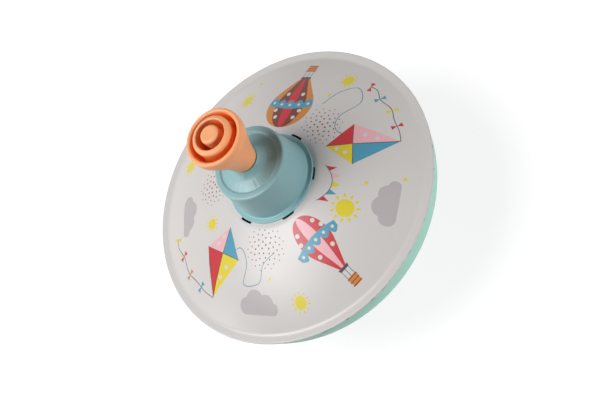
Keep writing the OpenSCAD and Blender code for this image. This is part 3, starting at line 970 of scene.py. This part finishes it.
def add_hooks(tower):
    """The snap hooks that go through the slots of the upper shell."""
    low_z, barb_z = SEAT_Z - HOOK_DROP, SEAT_Z - SHEET_T - HOOK_PLAY
    stem_r = HOOK_R - HOOK_T
    barb_r = stem_r - HOOK_PLAY - HOOK_BITE
    hook = [Vector(p) for p in (
        (stem_r, SEAT_Z), (HOOK_R, SEAT_Z), (HOOK_R, low_z),
        (barb_r, low_z), (barb_r, barb_z), (stem_r, barb_z))]
    half = asin((HOOK_W - EDGE_S) / 2 / HOOK_R)
    for i in range(HOOK_COUNT):
        sector(tower, hook, tau * i / HOOK_COUNT, half)


def build_tower():
    """The drive tower, with its snap hooks."""
    tower = Surface()
    revolve(tower, (tower_outside() + tower_inside())[::-1], closed=True)
    add_hooks(tower)
    make_piece("drive_tower", tower, [teal_plastic], "top_body", "tower")


def knob_side():
    """Outer line of the knob: its base, flare, shoulder and rounded lip."""
    fillet, flare_steps, lip_steps = 1, 36, 20
    flare_h = KNOB_H - KNOB_BAND_H - fillet
    widening = KNOB_R - KNOB_BASE_R
    turn = atan2(KNOB_TAPER * widening, flare_h)
    shoulder_r = SHOULDER_SHARE * flare_h / (tan(turn / 2) * cos(turn))
    shoulder_c = (KNOB_R - shoulder_r, LIP_Z - KNOB_BAND_H + shoulder_r * tan(turn / 2))
    shares = [FLARE_END * i / flare_steps for i in range(flare_steps + 1)]
    return [
        Vector((0, KNOB_Z)),
        *arc((KNOB_BASE_R - fillet, KNOB_Z + fillet), fillet, -90, -10),
        *[Vector((KNOB_BASE_R + widening * t ** KNOB_TAPER, KNOB_Z + fillet + flare_h * t)) for t in shares],
        *arc(shoulder_c, shoulder_r, -degrees(turn), 0),
        *arc((KNOB_R - LIP_T / 2, LIP_Z), LIP_T / 2, 0, 180, lip_steps)]


def build_knob():
    """The grip, with a lip, a middle ring and a boss, and a faint moulded circle on the boss."""
    ring_r = KNOB_R - LIP_T - GROOVE_W
    ring_ir = ring_r - RING_T
    ring_z = LIP_Z + RING_RISE
    boss_r = STRIP_R + BOSS_WALL
    outer_floor = LIP_Z - GROOVE_DEPTH
    inner_floor = LIP_Z - INNER_GROOVE_DEPTH
    ring_edge, ring_fall, boss_edge, floor_r = 1.8, 0.6, 1.9, 0.5
    mark_r, mark_depth = 3.1, 0.12
    outer_groove = [
        *arc((ring_r + 2 * floor_r, outer_floor), floor_r, 0, -90, 6),
        *arc((ring_r + floor_r, outer_floor), floor_r, -90, -180, 6)]
    ring = [
        *arc((ring_r - ring_edge, ring_z - ring_fall - ring_edge), ring_edge, 0, 70),
        *arc((ring_ir + EDGE_M, ring_z - EDGE_M), EDGE_M, 80, 180)]
    inner_groove = [
        *arc((ring_ir - EDGE_M, inner_floor), EDGE_M, 0, -90),
        *arc((boss_r + EDGE_M, inner_floor), EDGE_M, -90, -180)]
    boss = [
        *arc((boss_r - boss_edge, KNOB_TOP_Z - boss_edge), boss_edge, 0, 90),
        Vector((mark_r + 2 * mark_depth, KNOB_TOP_Z)),
        Vector((mark_r, KNOB_TOP_Z - mark_depth)),
        Vector((0, KNOB_TOP_Z - mark_depth))]
    outline, inks = [], []
    # The grooves take the second material, whose deeper orange low down is a painted glow
    for part, ink in ((knob_side(), 0), (outer_groove, 1), (ring, 0), (inner_groove, 1), (boss, 0)):
        outline += part
        inks += [ink] * len(part)
    knob = Surface()
    revolve(knob, outline[::-1], ink=inks[::-1])
    make_piece("pump_knob", knob, [orange_plastic, groove_glow_plastic], "plunger", "knob")


def build_guide_bush():
    """The flanged bush in the crown that guides the strip."""
    outline = [Vector(p) for p in (
        (PASS_R, BUSH_END_Z), (BUSH_R - EDGE_S, BUSH_END_Z), (BUSH_R, BUSH_END_Z + EDGE_S),
        (BUSH_R, BUSH_SEAT_Z), (BUSH_FLANGE_R, BUSH_SEAT_Z))]
    outline += arc((BUSH_FLANGE_R - EDGE_S, CROWN_Z - EDGE_S), EDGE_S, 0, 90, 6)
    outline += arc((PASS_R + EDGE_S, CROWN_Z - EDGE_S), EDGE_S, 90, 180, 6)
    bush = Surface()
    revolve(bush, outline[::-1], closed=True)
    make_piece("guide_bush_ring", bush, [natural_plastic], "top_body", "guide_bush")


def build_foot():
    """The moulded foot, with its neck through the bowl and the seat of the tip."""
    nose_r = TIP_R + NOSE_WALL
    socket_z = FOOT_H - SOCKET_DEPTH
    ball_r, bore_r = TIP_R + PUSH, TIP_SHANK_R + PUSH
    outline = [
        Vector((0, TIP_TOP_Z)),
        Vector((bore_r, TIP_TOP_Z)),
        *arc((0, TIP_R), ball_r, degrees(acos(bore_r / ball_r)), 0, 8),
        *arc((nose_r - EDGE_S, TIP_R + EDGE_S), EDGE_S, -90, 0, 6),
        *arc((nose_r + FOOT_FLARE_R, TIP_R + EDGE_M), FOOT_FLARE_R, 180, 115, 16),
        *arc((FOOT_R - EDGE_L, FOOT_H - FOOT_EDGE_H), EDGE_L, -70, 0),
        *[Vector(p) for p in (
            (FOOT_R, FOOT_H), (NECK_R, FOOT_H), (NECK_R, FOOT_TOP_Z - EDGE_S), (NECK_R - EDGE_S, FOOT_TOP_Z),
            (SLEEVE_R, FOOT_TOP_Z), (SLEEVE_R, socket_z), (0, socket_z))]]
    foot = Surface()
    revolve(foot, outline[::-1])
    make_piece("foot_moulding", foot, [orange_plastic], "top_body", "foot")


def build_tip():
    """The steel ball tip, with its shank."""
    outline = [
        Vector((0, 0)),
        *arc((0, TIP_R), TIP_R, -90, degrees(acos(TIP_SHANK_R / TIP_R)), 40)[1:],
        Vector((TIP_SHANK_R, TIP_TOP_Z)),
        Vector((0, TIP_TOP_Z))]
    tip = Surface()
    revolve(tip, outline[::-1], INNER_SEGMENTS)
    make_piece("steel_tip", tip, [steel], "top_body", "tip")


def strip_section(width):
    """Points and tangents round the strip's section, which has rounded edges and faces in narrow bands."""
    u, v = width / 2 - STRIP_EDGE, STRIP_T / 2 - STRIP_EDGE
    edge_steps, bands = 4, 8
    section = []
    for corner, start in (((u, -v), -90), ((u, v), 0), ((-u, v), 90), ((-u, -v), 180)):
        for i, p in enumerate(arc(corner, STRIP_EDGE, start, start + 90, edge_steps)):
            section.append((p, heading_vector(start + 90 * i / edge_steps + 90)))
        if start in (0, 180):
            along = heading_vector(start + 180)
            section += [(p + along * 2 * u * k / bands, along) for k in range(1, bands)]
    return section


def turned(flat, angle, z):
    """A point or direction of the strip's section turned to an angle, at a height."""
    c, s = cos(angle), sin(angle)
    return Vector((flat.x * c - flat.y * s, flat.x * s + flat.y * c, z))


def build_strip():
    """The twisted strip, with its narrow tail and its straight tang."""
    web_z = DRIVER_TOP_Z - WEB_DEPTH
    twist_z, tang_z = WASHER_TOP_Z + SHOULDER_GAP, KNOB_Z - TANG_START
    rate = tau / STRIP_LEAD
    steps = ceil(tang_z - twist_z)
    stations = [(STRIP_LOW_Z, TAIL_W, twist_z), (twist_z, TAIL_W, twist_z)]
    for i in range(steps + 1):
        z = twist_z + (tang_z - twist_z) * i / steps
        stations.append((z, STRIP_W, z))
    stations.append((STRIP_TOP_Z, STRIP_W, tang_z))
    strip = Surface()
    rings = []
    for z, width, angle_z in stations:
        angle = rate * (angle_z - web_z)
        ring = []
        for p, tangent in strip_section(width):
            place_3d, round_3d = turned(p, angle, z), turned(tangent, angle, 0)
            climb = Vector((-rate * place_3d.y, rate * place_3d.x, 1)) if z == angle_z else Vector((0, 0, 1))
            ring.append((strip.point(place_3d), round_3d.cross(climb).normalized()))
        rings.append(ring)
    for one, two in zip(rings, rings[1:]):
        level = strip.points[one[0][0]].z == strip.points[two[0][0]].z
        for i in range(len(one)):
            k = (i + 1) % len(one)
            numbers, corner_ns = zip(one[i], one[k], two[k], two[i])
            if level:
                strip.flat_face(numbers)
            else:
                strip.face(numbers, corner_ns)
    strip.flat_face([c for c, _ in rings[0]][::-1])
    strip.flat_face([c for c, _ in rings[-1]])
    make_piece("twisted_strip", strip, [steel], "plunger", "spindle")


def finish_inner_parts():
    """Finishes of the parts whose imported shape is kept."""
    finishes = {"clutch_housing": natural_plastic, "clutch_cover": natural_plastic, "driver": driver_plastic,
                "centre_tube": bare_tin, "foot_lock_washer": steel, "stop_washer": steel, "stop_pin": steel}
    for name, material in finishes.items():
        for material_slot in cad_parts[name].material_slots:
            material_slot.material = material


def make_floor():
    """A pale floor that is white to the eye and keeps the object's shadow."""
    mesh = bpy.data.meshes.new("floor")
    corners = [(x * FLOOR_HALF, y * FLOOR_HALF, 0) for x, y in ((-1, -1), (1, -1), (1, 1), (-1, 1))]
    mesh.from_pydata(corners, [], [(0, 1, 2, 3)])
    floor = add_object("floor", mesh)
    paper = Finish("floor_paper")
    seen = paper.seen()
    paper.feed(paper.shader.inputs["Base Color"], paper.ranged(seen, 0.0, 1.0, FLOOR_BOUNCE, FLOOR_SHARE))
    paper.feed(paper.shader.inputs["Roughness"], 0.9)
    paper.feed(paper.shader.inputs["Emission Color"], WHITE)
    paper.feed(paper.shader.inputs["Emission Strength"], paper.math("MULTIPLY", seen, FLOOR_GLOW))
    mesh.materials.append(paper.material)


def make_lamp(name, azimuth, elevation, size, level, reflected=True):
    """A round soft lamp of a size in metres, placed by angles in degrees.

    At level 1 a surface that faces it shows its own colour. Gloss mirrors it only if it is reflected.
    """
    lamp = bpy.data.lights.new(name, "AREA")
    lamp.shape = "DISK"
    lamp.size = size
    lamp.energy = level * (pi * LAMP_DISTANCE) ** 2
    holder = add_object(name, lamp)
    toward = spun(heading_vector(elevation), radians(azimuth))
    holder.location = Vector((0, 0, RIM_Z * MM)) + toward * LAMP_DISTANCE
    holder.rotation_euler = toward.to_track_quat("Z", "Y").to_euler()
    holder.visible_camera = False
    holder.visible_glossy = reflected


def make_world():
    """A surround that is white to the eye and gives the object little light."""
    world = bpy.data.worlds.new("studio")
    world.use_nodes = True
    bpy.context.scene.world = world
    sky = Nodes(world.node_tree)
    background = sky.add("ShaderNodeBackground")
    sky.feed(background.inputs["Color"], WHITE)
    sky.feed(background.inputs["Strength"], sky.ranged(sky.seen(), 0.0, 1.0, AMBIENT, 1.0))
    sky.feed(sky.add("ShaderNodeOutputWorld").inputs["Surface"], background.outputs["Background"])


def make_camera():
    """A camera at the photographed view, rolled so that the spin axis leans to the upper left."""
    flat_right = Vector((cos(AZIMUTH), sin(AZIMUTH), 0))
    back = Vector((sin(AZIMUTH) * cos(ELEVATION), -cos(AZIMUTH) * cos(ELEVATION), sin(ELEVATION)))
    flat_up = back.cross(flat_right)
    right = cos(ROLL) * flat_right - sin(ROLL) * flat_up
    up = sin(ROLL) * flat_right + cos(ROLL) * flat_up
    place_3d = Vector((0, 0, RIM_Z)) - AIM_RIGHT * right - AIM_UP * up + DISTANCE * back
    data = bpy.data.cameras.new("camera")
    data.lens = LENS
    data.sensor_width = SENSOR
    camera = add_object("camera", data)
    turn = Matrix((right, up, back)).transposed()
    camera.matrix_world = Matrix.LocRotScale(place_3d * MM, turn.to_quaternion(), None)
    bpy.context.scene.camera = camera


build_upper_shell()
build_lower_shell()
build_tower()
build_knob()
build_guide_bush()
build_foot()
build_tip()
build_strip()
finish_inner_parts()
make_floor()
make_lamp("key", azimuth=146, elevation=64, size=1.2, level=0.92)
make_lamp("low", azimuth=150, elevation=14, size=0.7, level=0.17)
make_lamp("side", azimuth=-62, elevation=2, size=0.24, level=0.52, reflected=False)
make_world()
make_camera()
bpy.context.scene.view_settings.view_transform = "Standard"
